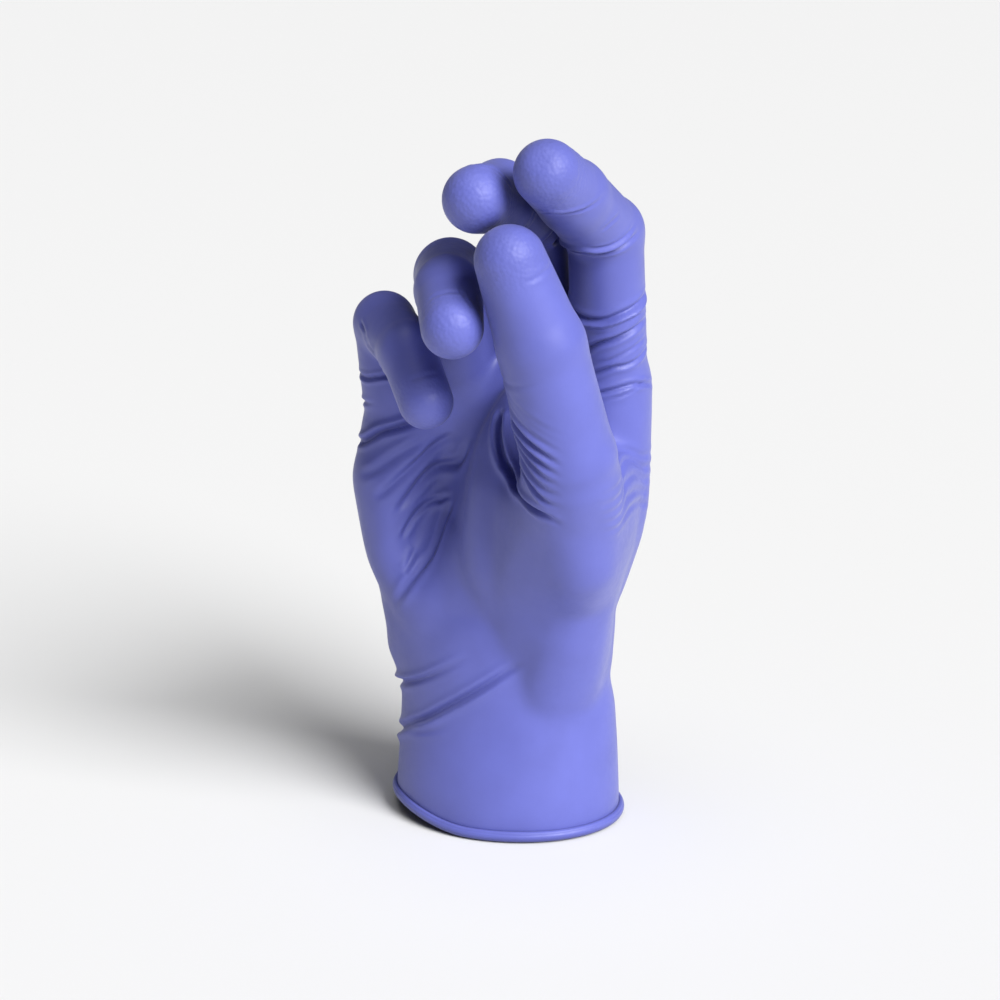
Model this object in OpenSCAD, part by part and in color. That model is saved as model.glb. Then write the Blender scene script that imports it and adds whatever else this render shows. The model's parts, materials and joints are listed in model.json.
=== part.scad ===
// Thin dipped work glove in its worn, lightly gripping shape, empty and open at the cuff.
// Millimetres. The origin is the middle of the hand opening, +Z runs to the fingertips,
// -Y is the palm side and +X is the thumb side.

/* [Film] */
// Drawn film thickness
film = 0.5; // [0.4:0.05:1]
// Clearance between film regions that move apart
gap = 0.35; // [0.3:0.05:0.8]
// Which region to draw, or all of them

/* [Cuff] */
// Half width of the hand opening, thumb side to little side
rim_half_x = 33.6; // [26:0.2:42]
// Half depth of the hand opening, palm side to back
rim_half_y = 27.6; // [20:0.2:36]
// Radius of the rolled bead
bead_r = 1.15; // [0.6:0.05:2.5]
// Height where the cuff ends and the wrist fold starts
cuff_h = 26; // [18:1:34]
// Height where the wrist fold ends and the palm starts
wrist_h = 50; // [44:1:54]
// Half width of the wrist
wrist_half_x = 31.6; // [24:0.2:38]
// Half depth of the wrist
wrist_half_y = 22; // [16:0.2:30]

/* [Palm] */
// Half width of the heel of the palm
heel_half_x = 36; // [28:0.5:42]
// Half depth of the heel of the palm
heel_half_y = 20.5; // [15:0.5:27]
// Height of the widest part of the thumb muscle
heel_h = 72; // [64:1:80]
// Radius of the knuckle end of the palm at the index finger
knuckle_r = 11.6; // [9:0.1:14]
// Thickness radius of the film web between two fingers
web_r = 7.5; // [5:0.1:10]

/* [Index finger] */
// Knuckle centre
index_root = [30, 0, 130]; // [-50:0.5:150]
// Lengths of the three finger bones inside
index_len = [45.5, 25, 17]; // [10:0.5:60]
// Resting bend at knuckle, middle joint and end joint
index_bend = [13, 47, 2]; // [0:1:110]
// Radii at knuckle, middle joint, end joint and tip
index_r = [10.5, 10.3, 9.6, 8.8]; // [6:0.1:14]
// Sideways lean and roll about the finger's own length
index_set = [4, -9]; // [-45:1:45]

/* [Middle finger] */
// Knuckle centre
middle_root = [9.5, 3.5, 130]; // [-50:0.5:150]
// Lengths of the three finger bones inside
middle_len = [46.5, 28.5, 16.5]; // [10:0.5:60]
// Resting bend at knuckle, middle joint and end joint
middle_bend = [8, 63, 12]; // [0:1:110]
// Radii at knuckle, middle joint, end joint and tip
middle_r = [10.3, 10.1, 9.6, 8.9]; // [6:0.1:14]
// Sideways lean and roll about the finger's own length
middle_set = [0, -2]; // [-45:1:45]

/* [Ring finger] */
// Knuckle centre
ring_root = [-11, 1.5, 123]; // [-50:0.5:150]
// Lengths of the three finger bones inside
ring_len = [42, 27, 18]; // [10:0.5:60]
// Resting bend at knuckle, middle joint and end joint
ring_bend = [22, 73, 21]; // [0:1:110]
// Radii at knuckle, middle joint, end joint and tip
ring_r = [9.9, 9.7, 9, 8.3]; // [6:0.1:14]
// Sideways lean and roll about the finger's own length
ring_set = [-10, 20]; // [-45:1:45]

/* [Little finger] */
// Knuckle centre
little_root = [-31.5, -5.5, 112]; // [-50:0.5:150]
// Lengths of the three finger bones inside
little_len = [34, 21, 16]; // [10:0.5:60]
// Resting bend at knuckle, middle joint and end joint
little_bend = [16, 92, 36]; // [0:1:110]
// Radii at knuckle, middle joint, end joint and tip
little_r = [9, 8.5, 7.9, 7.4]; // [6:0.1:14]
// Sideways lean and roll about the finger's own length
little_set = [-11, 38]; // [-45:1:45]

/* [Thumb] */
// Centre of the joint at the root of the thumb
thumb_root = [29, -20, 71]; // [-50:0.5:150]
// Lengths of the three thumb bones inside
thumb_len = [50, 34.5, 24]; // [10:0.5:60]
// Resting bend at root, middle joint and end joint
thumb_bend = [0, 10.5, 8]; // [0:1:60]
// Radii at root, middle joint, end joint and tip
thumb_r = [11.5, 12.6, 11.6, 9.4]; // [6:0.1:18]
// Lean toward the palm side, sideways lean and roll about its own length
thumb_set = [20, 2, -108]; // [-130:0.5:60]

/* [Hidden] */

// digits are numbered 0 index, 1 middle, 2 ring, 3 little, 4 thumb
root = [index_root, middle_root, ring_root, little_root, thumb_root];
len3 = [index_len, middle_len, ring_len, little_len, thumb_len];
bend = [index_bend, middle_bend, ring_bend, little_bend, thumb_bend];
rad4 = [index_r, middle_r, ring_r, little_r, thumb_r];
set4 = [index_set, middle_set, ring_set, little_set];
// reach of each fold to either side of its joint: knuckle (far side), middle joint, end joint
reach = [[17, 5, 4], [17, 7, 4], [16, 9.4, 4.4], [14.5, 10.2, 4.8], [20, 5, 4.5]];
skin = [0.47, 0.45, 0.78];
crease = [0.40, 0.38, 0.70];

// turns about the three axes
function rx(a) = [[1, 0, 0], [0, cos(a), -sin(a)], [0, sin(a), cos(a)]];
function ry(a) = [[cos(a), 0, sin(a)], [0, 1, 0], [-sin(a), 0, cos(a)]];
function rz(a) = [[cos(a), -sin(a), 0], [sin(a), cos(a), 0], [0, 0, 1]];
// frame of digit d before its first bend, then after the bend of joint k
function stance(d) = d == 4
    ? ry(thumb_set[1]) * rx(thumb_set[0]) * rz(thumb_set[2])
    : ry(set4[d][0]) * rz(set4[d][1]);
function aim(d, k) = (k == 0 ? stance(d) : aim(d, k - 1)) * rx(bend[d][k]);
function spot(d, k) = k == 0
    ? root[d]
    : spot(d, k - 1) + aim(d, k - 1) * [0, 0, len3[d][k - 1]];
function along(d, k, s) = spot(d, k) + aim(d, k) * [0, 0, s];
function wide(d, k, s) = rad4[d][k] + (rad4[d][k + 1] - rad4[d][k]) * s / len3[d][k];
function unit(v) = v / norm(v);

// puts children in the frame of bone k of digit d, the joint at their origin
module in_bone(d, k) {
    a = aim(d, k);
    p = spot(d, k);
    multmatrix([for (i = [0:2]) [a[i][0], a[i][1], a[i][2], p[i]]]) children();
}

// everything on the side of the plane through p that its direction v points to
module beyond(p, v) {
    w = unit(v);
    b = acos(w[2]);
    c = atan2(w[1], w[0]);
    translate(p) rotate([0, b, c]) translate([-150, -150, 0]) cube(300);
}

// straight tapered film tube along bone k from s1 to s2
module sleeve(d, k, s1, s2) {
    color(skin) in_bone(d, k) rotate_extrude($fn = 64) polygon([
        [wide(d, k, s1) - film, s1], [wide(d, k, s1), s1],
        [wide(d, k, s2), s2], [wide(d, k, s2) - film, s2]
    ]);
}

// closed fingertip from s1 onward, with a rounded end
module tip(d, s1) {
    k = 2;
    e = len3[d][2];
    r = rad4[d][3];
    color(skin) in_bone(d, k) rotate_extrude($fn = 64) polygon(concat(
        [[wide(d, k, s1), s1]],
        [for (i = [0:9]) [r * cos(i * 9), e + r * sin(i * 9)]],
        [[0, e + r], [0, e + r - film]],
        [for (i = [9:-1:0]) [(r - film) * cos(i * 9), e + (r - film) * sin(i * 9)]],
        [[wide(d, k, s1) - film, s1]]
    ));
}

// curved film tube round joint k, short of the next region by the gap
module fold(d, k) {
    n = reach[d][k];
    t = bend[d][k];
    R = n / tan(t / 2);
    r = rad4[d][k];
    a = aim(d, k - 1);
    c = spot(d, k) - a * [0, R, n];
    m = [for (i = [0:2]) [a[i][1], a[i][2], a[i][0], c[i]]];
    color(crease) multmatrix(m) rotate_extrude(angle = t - gap / R * 57.3, $fn = 64)
        translate([R, 0]) difference() {
            circle(r = r);
            circle(r = r - film);
        }
}

// flat disc used to span the palm, pulled in by the inset
module slab(z, x, y, a, b, inset) {
    translate([x, y, z]) scale([a - inset, b - inset, 1]) cylinder(r = 1, h = 0.02, $fn = 56);
}

module ball(p, r) {
    translate(p) sphere(r = r, $fn = 26);
}

// solid form of the palm, the thumb muscle and the roots of the fingers
module hand(inset) {
    k = knuckle_r - inset;
    w = web_r - inset;
    hull() {
        slab(44, 0, 0, wrist_half_x, wrist_half_y, inset);
        slab(heel_h - 8, -2, 0, heel_half_x, heel_half_y, inset);
    }
    hull() {
        slab(heel_h - 8, -2, 0, heel_half_x, heel_half_y, inset);
        slab(heel_h + 18, -2.5, 0, heel_half_x + 6, 16.5, inset);
    }
    hull() {
        slab(heel_h + 18, -2.5, 0, heel_half_x + 6, 16.5, inset);
        ball(root[0], k);
        ball(root[1], k);
    }
    hull() {
        slab(heel_h + 18, -2.5, 0, heel_half_x + 6, 16.5, inset);
        ball(root[1], k);
        ball(root[2], k);
    }
    hull() {
        slab(heel_h + 18, -2.5, 0, heel_half_x + 6, 16.5, inset);
        ball(root[2], k);
        ball(root[3], k - 1);
    }
    // pad on the little finger side
    hull() {
        ball(root[3], 9.5 - inset);
        ball([-32, -6, 99], 12.5 - inset);
        ball([-26, -6, 79], 14.5 - inset);
        ball([-17, -4, 64], 16.5 - inset);
    }
    for (i = [0:2]) hull() {
        ball(root[i], k - 0.3);
        ball(root[i + 1], k - 1);
        ball(along(i, 0, reach[i][0] - 9), w);
        ball(along(i + 1, 0, reach[i + 1][0] - 9), w);
    }
    for (i = [0:3]) hull() {
        ball(root[i], k - (i == 3 ? 1.4 : 0.8));
        in_bone(i, 0) translate([0, 0, reach[i][0]])
            cylinder(r = wide(i, 0, reach[i][0]) - inset, h = 0.02, $fn = 48);
    }
    // thumb muscle and first web
    hull() {
        ball(spot(4, 0), thumb_r[0] - inset);
        in_bone(4, 0) translate([0, 0, len3[4][0] - 3])
            cylinder(r = wide(4, 0, len3[4][0] - 3) - inset, h = 0.02, $fn = 48);
    }
    hull() {
        ball(spot(4, 0), thumb_r[0] - inset);
        ball([8, -8, 72], 15 - inset);
        ball([16, -3, 60], 13 - inset);
    }
    hull() {
        ball([8, -8, 72], 15 - inset);
        ball([9, -11, 92], 13 - inset);
        ball([17, -13, 108], 9.5 - inset);
        ball(along(4, 0, 38), 10 - inset);
        ball(along(4, 0, 20), 11 - inset);
        ball(spot(4, 0), thumb_r[0] - inset);
        ball([29, -6, 104], 8 - inset);
    }
    // inner edge of the thumb muscle, over the hollow of the palm
    hull() {
        ball([10, -12, 124], 8 - inset);
        ball([3, -12, 102], 13 - inset);
        ball([4, -12, 80], 13.5 - inset);
        ball([7, -10, 68], 12 - inset);
        ball([20, -14, 106], 9 - inset);
    }
}

module shell() {
    difference() {
        hand(0);
        hand(film);
    }
}

// plane that closes the palm under finger i
cut_p = [for (i = [0:3]) along(i, 0, -11)];
function cut_n() = unit(cross([0, 1, 0], root[3] - root[0]));
// plane between fingers i and i + 1, facing finger i
function mid(i) = (root[i] + root[i + 1]) / 2;
function lane(i) = unit(cross([0, 1, 0], aim(i, 0) * [0, 0, 1] + aim(i + 1, 0) * [0, 0, 1]));
// planes either side of the web of the thumb, facing the thumb
web_n = unit([0.35, -0.9, 0.1]);
web_a = web_n * 36.5;
web_b = web_n * 44;

module cuff_bead() {
    n = 96;
    m = 14;
    a = rim_half_x;
    b = rim_half_y;
    pts = [for (i = [0:n - 1]) let (t = i * 360 / n, g = unit([cos(t) / a, sin(t) / b, 0]))
        for (j = [0:m - 1]) let (u = j * 360 / m)
            [a * cos(t), b * sin(t), bead_r] + bead_r * (cos(u) * g + [0, 0, sin(u)])];
    color(skin) polyhedron(pts, [for (i = [0:n - 1]) for (j = [0:m - 1])
        let (k = (i + 1) % n, l = (j + 1) % m)
            [i * m + j, i * m + l, k * m + l, k * m + j]]);
}

// open film tube through rings [height, half x, half y, centre x]
module ringed(rows) {
    n = 72;
    q = len(rows);
    pts = concat(
        [for (s = rows) for (i = [0:n - 1])
            [s[3] + s[1] * cos(i * 360 / n), s[2] * sin(i * 360 / n), s[0]]],
        [for (s = rows) for (i = [0:n - 1])
            [s[3] + (s[1] - film) * cos(i * 360 / n), (s[2] - film) * sin(i * 360 / n), s[0]]]
    );
    outer = [for (j = [0:q - 2]) for (i = [0:n - 1]) let (k = (i + 1) % n)
        each [[j * n + i, (j + 1) * n + k, j * n + k], [j * n + i, (j + 1) * n + i, (j + 1) * n + k]]];
    b = q * n;
    inner = [for (f = outer) [f[0] + b, f[2] + b, f[1] + b]];
    ends = [for (i = [0:n - 1]) let (k = (i + 1) % n, t = (q - 1) * n) each [
        [i, k, b + k, b + i], [t + i, b + t + i, b + t + k, t + k]
    ]];
    polyhedron(pts, concat(outer, inner, ends));
}

function ease(a, b, t) = a + (b - a) * (3 - 2 * t) * t * t;
function ring_at(z) = let (t = min(1, max(0, (z - 2) / 40)))
    [z, ease(rim_half_x - 0.6, wrist_half_x, t), ease(rim_half_y - 0.6, wrist_half_y, t), 0];
function ring_up(z) = let (t = (z - 44) / (heel_h - 8 - 44))
    [z, wrist_half_x + (heel_half_x - wrist_half_x) * t,
        wrist_half_y + (heel_half_y - wrist_half_y) * t, -2 * t];

module cuff() {
    color(skin) ringed([for (i = [0:6]) ring_at(2 * bead_r + (cuff_h - 2 * bead_r) * i / 6)]);
}

module wrist_fold() {
    color(crease) ringed(concat(
        [for (i = [0:6]) ring_at(cuff_h + (43.5 - cuff_h) * i / 6)],
        [ring_up(wrist_h - gap)]
    ));
}

module palm() {
    color(skin) intersection() {
        shell();
        translate([-100, -100, wrist_h]) cube([200, 200, 100]);
        beyond(cut_p[1], -cut_n());
        beyond(web_a, -web_n);
    }
}

// film left between the palm and the moving part of the thumb
module thumb_base_fold() {
    color(crease) intersection() {
        shell();
        translate([-100, -100, wrist_h]) cube([200, 200, 100]);
        beyond(cut_p[1], -cut_n());
        beyond(web_a, web_n);
        beyond(along(4, 0, len3[4][0] - reach[4][1]), -aim(4, 0) * [0, 0, 1]);
        beyond(web_b - gap * web_n, -web_n);
    }
}

module thumb_base() {
    color(skin) intersection() {
        shell();
        translate([-100, -100, wrist_h + 5]) cube([200, 200, 100]);
        beyond(web_b, web_n);
        beyond(along(4, 0, len3[4][0] - reach[4][1]), -aim(4, 0) * [0, 0, 1]);
    }
}

module knuckle_fold(i) {
    f = aim(i, 0) * [0, 0, 1];
    color(crease) intersection() {
        shell();
        beyond(cut_p[1], cut_n());
        beyond(along(i, 0, reach[i][0] - gap), -f);
        if (i < 3) beyond(mid(i), lane(i));
        else beyond(mid(2), -lane(2));
        if (i > 0) beyond(mid(i - 1), -lane(i - 1));
        else beyond(mid(0), lane(0));
    }
}

module proximal(d) {
    sleeve(d, 0, reach[d][0], len3[d][0] - reach[d][1]);
}

module middle(d) {
    sleeve(d, 1, reach[d][1], len3[d][1] - reach[d][2]);
}

module thumb_middle_fold() { fold(4, 1); }
module thumb_middle() { middle(4); }
module thumb_end_fold() { fold(4, 2); }
module thumb_tip() { tip(4, reach[4][2]); }
module index_knuckle_fold() { knuckle_fold(0); }
module index_proximal() { proximal(0); }
module index_middle_fold() { fold(0, 1); }
module index_middle() { middle(0); }
module index_end_fold() { fold(0, 2); }
module index_tip() { tip(0, reach[0][2]); }
module middle_knuckle_fold() { knuckle_fold(1); }
module middle_proximal() { proximal(1); }
module middle_middle_fold() { fold(1, 1); }
module middle_middle() { middle(1); }
module middle_end_fold() { fold(1, 2); }
module middle_tip() { tip(1, reach[1][2]); }
module ring_knuckle_fold() { knuckle_fold(2); }
module ring_proximal() { proximal(2); }
module ring_middle_fold() { fold(2, 1); }
module ring_middle() { middle(2); }
module ring_end_fold() { fold(2, 2); }
module ring_tip() { tip(2, reach[2][2]); }
module little_knuckle_fold() { knuckle_fold(3); }
module little_proximal() { proximal(3); }
module little_middle_fold() { fold(3, 1); }
module little_middle() { middle(3); }
module little_end_fold() { fold(3, 2); }
module little_tip() { tip(3, reach[3][2]); }

cuff_bead();
cuff();
wrist_fold();
palm();
thumb_base_fold();
thumb_base();
thumb_middle_fold();
thumb_middle();
thumb_end_fold();
thumb_tip();
index_knuckle_fold();
index_proximal();
index_middle_fold();
index_middle();
index_end_fold();
index_tip();
middle_knuckle_fold();
middle_proximal();
middle_middle_fold();
middle_middle();
middle_end_fold();
middle_tip();
ring_knuckle_fold();
ring_proximal();
ring_middle_fold();
ring_middle();
ring_end_fold();
ring_tip();
little_knuckle_fold();
little_proximal();
little_middle_fold();
little_middle();
little_end_fold();
little_tip();
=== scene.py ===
# A worn-shape disposable glove: one skin is grown round the joints of the packed
# frame, creased, then cut into the regions of the frame's bodies and the folds between them.
import json
import math

import bpy
import numpy as np
import openvdb
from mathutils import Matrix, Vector
from mathutils.bvhtree import BVHTree


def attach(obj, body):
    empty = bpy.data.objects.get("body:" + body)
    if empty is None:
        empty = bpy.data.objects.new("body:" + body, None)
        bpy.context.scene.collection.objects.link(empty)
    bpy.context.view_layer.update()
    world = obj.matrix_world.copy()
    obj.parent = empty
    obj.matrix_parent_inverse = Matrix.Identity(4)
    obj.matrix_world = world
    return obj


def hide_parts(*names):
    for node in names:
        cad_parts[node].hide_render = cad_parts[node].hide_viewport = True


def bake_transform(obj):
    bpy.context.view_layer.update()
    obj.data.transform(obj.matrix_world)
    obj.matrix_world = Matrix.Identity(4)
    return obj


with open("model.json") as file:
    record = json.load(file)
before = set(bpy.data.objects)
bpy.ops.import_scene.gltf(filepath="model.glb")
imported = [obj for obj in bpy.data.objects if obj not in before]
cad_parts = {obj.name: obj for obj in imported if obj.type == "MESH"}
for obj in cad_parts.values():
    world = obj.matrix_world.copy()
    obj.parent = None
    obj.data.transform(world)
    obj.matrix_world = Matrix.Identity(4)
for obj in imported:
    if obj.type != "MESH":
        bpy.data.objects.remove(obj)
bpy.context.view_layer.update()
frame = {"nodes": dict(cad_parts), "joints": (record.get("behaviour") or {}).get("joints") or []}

# ---------------------------------------------------------------- measures, mm
VOXEL = 0.56     # fine grid that the skin is grown on
FILM = 0.4                              # drawn thickness of the film
RIM_X, RIM_Y = 33.6, 27.6               # half axes of the rim's centre line
BEAD_R, BEAD_H = 1.15, 1.6              # half thickness and half height of the rolled rim
WRIST_X, WRIST_Y = 31.6, 22.0           # half axes of the wrist
CUFF_H, WRIST_H = 26.0, 50.0            # heights where the wrist fold begins and ends
FILM_Z = 1.3                            # the film starts inside the bead, at this height
KNUCKLE_R, WEB_R = 11.6, 7.2            # roundness of the knuckles and of the finger webs
DIGITS = ["index", "middle", "ring", "little", "thumb"]
# radius of each digit at its joints and its tip
RADII = {
    "index": (10.5, 10.3, 9.6, 8.8),
    "middle": (10.3, 10.1, 9.6, 8.9),
    "ring": (9.9, 9.7, 9.0, 8.3),
    "little": (9.0, 8.5, 7.9, 7.4),
    "thumb": (11.5, 12.6, 11.6, 9.4),
}
# where each fold ends, measured from its joint: knuckle, middle joint, end joint
REACH = {
    "index": (17, 5, 4), "middle": (17, 7, 4), "ring": (16, 9.4, 4.4),
    "little": (14.5, 10.2, 4.8), "thumb": (20, 5, 4.5),
}
# planes where the film web of the thumb begins and ends
WEB_N = np.array([0.35, -0.9, 0.1]) / np.linalg.norm([0.35, -0.9, 0.1])
WEB_A, WEB_B = 36.5, 44.0
THUMB_IN = np.array([-5.0, 7.5, 4.0])  # sinks the root of the thumb into the palm
rng = np.random.default_rng(7)


def unit(v):
    v = np.asarray(v, float)
    return v / np.linalg.norm(v)


def ease(t):
    t = np.clip(t, 0.0, 1.0)
    return t * t * (3 - 2 * t)


# ------------------------------------------------------- skeleton from the frame
JOINTS = {j["name"]: j for j in frame["joints"]}


def skeleton(digit):
    """Joint centres and bone frames (columns: across, back of hand, along), in mm."""
    names = ["thumb_root" if digit == "thumb" else digit + "_knuckle",
             digit + "_middle_joint", digit + "_end_joint"]
    spots = [np.array(JOINTS[n]["pos_m"], float) * 1000 for n in names]
    across = [-unit(JOINTS[n]["axis"]) for n in names]
    tip = frame["nodes"][digit + "_tip"].data
    co = np.array([v.co for v in tip.vertices], float) * 1000
    apex = co[np.argmax(np.linalg.norm(co - spots[2], axis=1))]
    last = unit(apex - spots[2])
    ends = spots[1:] + [apex - RADII[digit][3] * last]
    frames = []
    for k in range(3):
        z = unit(ends[k] - spots[k])
        x = unit(across[k] - (across[k] @ z) * z)
        frames.append(np.stack([x, np.cross(z, x), z], axis=1))
    return np.array(spots + [ends[2]]), frames


SKEL = {d: skeleton(d) for d in DIGITS}
# the skin cuts the corner of a strongly bent joint: how far its centre sits inside the joint
CORNER = {"index": 0.3, "middle": 1.0, "ring": 2.2, "little": 0.0, "thumb": 0.0}


def bone_len(d, k):
    return float(np.linalg.norm(SKEL[d][0][k + 1] - SKEL[d][0][k]))


def along(d, k, s):
    return SKEL[d][0][k] + SKEL[d][1][k][:, 2] * s


def radius(d, k, s):
    a, b = RADII[d][k], RADII[d][k + 1]
    return a + (b - a) * s / bone_len(d, k)


def on_skin(d, k, s, phi):
    """Point about on the skin of bone k, phi degrees from the middle of its palm side."""
    f = SKEL[d][1][k]
    a = math.radians(phi)
    return along(d, k, s) + radius(d, k, s) * (f[:, 0] * math.sin(a) - f[:, 1] * math.cos(a))


# the plane between palm and knuckle folds, and the planes between the fingers
ROOT = {d: SKEL[d][0][0] for d in DIGITS}
CUT_P = along("middle", 0, -11)
CUT_N = unit(np.cross([0, 1, 0], ROOT["little"] - ROOT["index"]))
if CUT_N[2] < 0:
    CUT_N = -CUT_N
LANE = []
for i in range(3):
    a, b = DIGITS[i], DIGITS[i + 1]
    n = unit(np.cross([0, 1, 0], SKEL[a][1][0][:, 2] + SKEL[b][1][0][:, 2]))
    LANE.append(((ROOT[a] + ROOT[b]) / 2, n if n[0] > 0 else -n))

# -------------------------------------------------------------- distance fields
def even_directions(count):
    """Unit vectors spread evenly over the sphere on a golden spiral."""
    i = np.arange(count) + 0.5
    polar = np.arccos(1 - 2 * i / count)
    turn = math.pi * (1 + 5 ** 0.5) * i
    return np.stack([np.cos(turn) * np.sin(polar), np.sin(turn) * np.sin(polar),
                     np.cos(polar)], axis=1).astype(np.float32)


DIRS = even_directions(620)


# ball, slab and disc give a shape's reach in each direction, and its box
def ball(c, r):
    c = np.asarray(c, float)
    return DIRS @ c + r, np.array([c - r, c + r])


def slab(z, x, y, a, b):
    """Flat level ellipse with half axes a and b."""
    c = np.array([x, y, z], float)
    h = DIRS @ c + np.hypot(DIRS[:, 0] * a, DIRS[:, 1] * b)
    return h, np.array([c - [a, b, 0], c + [a, b, 0]])


def disc(c, n, r):
    """Flat disc square to n."""
    c = np.asarray(c, float)
    h = DIRS @ c + r * np.sqrt(np.maximum(0, 1 - (DIRS @ n) ** 2))
    return h, np.array([c - r, c + r])


LO = np.array([-51.0, -70.0, -5.0])
HI = np.array([51.0, 35.0, 211.0])
FINE = [np.arange(LO[a], HI[a], VOXEL) for a in range(3)]
FINE = [g[:(len(g) - 1) // 2 * 2 + 1] for g in FINE]  # odd counts, so every other one is coarse
COARSE = [g[::2] for g in FINE]


def window(axes, lo, hi):
    """Slices of the grid that cover a box."""
    return tuple(slice(max(0, np.searchsorted(axes[a], lo[a])),
                       np.searchsorted(axes[a], hi[a]) + 1) for a in range(3))


def points(axes, w):
    """The grid points in a window as rows, and the window's shape."""
    g = np.meshgrid(*[axes[a][w[a]] for a in range(3)], indexing="ij")
    return np.stack([v.ravel() for v in g], axis=1).astype(np.float32), g[0].shape


def hull(field, parts, margin=8.0):
    """Distance to the tightest skin round the parts, taken into the field."""
    h = np.max([p[0] for p in parts], axis=0).astype(np.float32)
    lo = np.min([p[1][0] for p in parts], axis=0) - margin
    hi = np.max([p[1][1] for p in parts], axis=0) + margin
    w = window(COARSE, lo, hi)
    p, shape = points(COARSE, w)
    out = np.empty(len(p), np.float32)
    for s in range(0, len(p), 60000):
        out[s:s + 60000] = (p[s:s + 60000] @ DIRS.T - h).max(axis=1)
    field[w] = np.minimum(field[w], out.reshape(shape))


def smin(a, b, k):
    """Smooth minimum: joins two distances with a fillet about k wide."""
    h = np.clip(0.5 + 0.5 * (b - a) / k, 0, 1)
    return b + (a - b) * h - k * h * (1 - h)


def blur(f, sigma):
    """Gaussian blur, sigma in grid steps."""
    n = int(3 * sigma) + 1
    x = np.arange(-n, n + 1)
    w = np.exp(-0.5 * (x / sigma) ** 2)
    w /= w.sum()
    for a in range(3):
        pad = [(n, n) if b == a else (0, 0) for b in range(3)]
        g = np.pad(f, pad, mode="edge")
        f = sum(w[j] * np.take(g, range(j, j + f.shape[a]), axis=a) for j in range(2 * n + 1))
    return f


def hand_hulls(f):
    """Palm, knuckles, webs of the fingers and muscles of the hand, each a tight hull."""
    r, k = ROOT, KNUCKLE_R
    waist = slab(64, -3.6, 0, 35.6, 20.5)
    wide = slab(90, -1.2, 0, 42, 17.8)
    hull(f, [slab(44, -1.6, 0, WRIST_X + 0.6, WRIST_Y), waist])
    hull(f, [waist, wide])
    hull(f, [wide, ball(r["index"], k), ball(r["middle"], k)])
    hull(f, [wide, ball(r["middle"], k), ball(r["ring"], k)])
    hull(f, [wide, ball(r["ring"], k), ball(r["little"], k - 1)])
    # muscle on the little finger side
    hull(f, [ball(r["little"], 9.5), ball((-32, -6, 99), 12.5), ball((-26, -6, 79), 14.5),
             ball((-17, -4, 64), 16.5)])
    for a, b in zip(DIGITS[:3], DIGITS[1:4]):
        hull(f, [ball(r[a], k - 0.3), ball(r[b], k - 1),
                 ball(along(a, 0, REACH[a][0] - 11.5), WEB_R),
                 ball(along(b, 0, REACH[b][0] - 11.5), WEB_R)])
    # thumb: its root bone, the heel of the hand below it, and the taper into the wrist
    t = "thumb"
    heel = ball(r[t] + (-3.4, 4.5, 4.0), 11.0)
    hull(f, [heel, disc(along(t, 0, 45), SKEL[t][1][0][:, 2], radius(t, 0, 45))])
    hull(f, [heel, ball((8, -8, 72), 15), ball((16, -3, 60), 13), ball((15, -8.5, 45), 11.5)])
    hull(f, [heel, ball(r[t] + (-6, 5.5, -1), 11.5), ball((19, -6.5, 41), 10.5),
             ball((15, -8.5, 41), 11.5), ball((17, -2, 60), 14)])
    # thumb: its muscle over the palm, the web to the index finger, the muscle's inner edge
    hull(f, [ball((8, -8, 72), 15), ball((9, -11, 92), 13), ball((17, -13, 108), 9.5),
             ball(along(t, 0, 38), 10), ball(along(t, 0, 20), 11), heel,
             ball((30.5, -6, 108), 8.5)])
    hull(f, [ball(along(t, 0, 34), 10.5), ball(along(t, 0, 16), 11), heel,
             ball((31.5, -5, 106), 9), ball((29, -4, 88), 10), ball((24, -2, 72), 10)])
    hull(f, [ball((10, -12, 124), 8), ball((3, -12, 102), 13), ball((4, -12, 80), 13.5),
             ball((7, -10, 68), 12), ball((20, -14, 106), 9)])


def add_sleeve(f):
    """Wrist and cuff: an ellipse that widens towards the rim."""
    w = window(COARSE, (-51, -40, -5), (51, 40, 47))
    p, shape = points(COARSE, w)
    z = p[:, 2]
    e = ease((z - 2) / 40)
    a = RIM_X - 0.6 + (WRIST_X - RIM_X + 0.6) * e
    b = RIM_Y - 0.6 + (WRIST_Y - RIM_Y + 0.6) * e
    x = p[:, 0] + 1.6 * ease((z - 33) / 10)
    k0 = np.hypot(x / a, p[:, 1] / b)
    k1 = np.hypot(x / a ** 2, p[:, 1] / b ** 2)
    d = k0 * (k0 - 1) / np.maximum(k1, 1e-4)
    f[w] = np.minimum(f[w], d.reshape(shape))


def hollow_palm(f):
    """Takes a leaning ellipsoid out of the palm."""
    w = window(COARSE, (-40, -50, 55), (25, 0, 135))
    p, shape = points(COARSE, w)
    centre, half = np.array([-15.5, -27.0, 101.0]), np.array([10.5, 19.5, 33.0])
    q = p - centre
    lean = math.radians(14)
    q = np.stack([q[:, 0] * math.cos(lean) - q[:, 2] * math.sin(lean), q[:, 1],
                  q[:, 0] * math.sin(lean) + q[:, 2] * math.cos(lean)], axis=1)
    k0 = np.linalg.norm(q / half, axis=1)
    d = (k0 - 1) * half.min()
    f[w] = -smin(-f[w], d.reshape(shape), 4.5)


def body_field():
    """Distance to the hand without its digits, on the coarse grid, softened by 2 mm."""
    f = np.full([len(g) for g in COARSE], 30.0, np.float32)
    hand_hulls(f)
    add_sleeve(f)
    hollow_palm(f)
    return blur(f, 2.0 / (2 * VOXEL)) - 0.25


def refine(f):
    """Doubles the grid by averaging neighbours along each axis."""
    for a in range(3):
        f = np.moveaxis(f, a, 0)
        g = np.empty((2 * len(f) - 1,) + f.shape[1:], np.float32)
        g[::2] = f
        g[1::2] = (f[1:] + f[:-1]) / 2
        f = np.moveaxis(g, 0, a)
    return f


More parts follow.
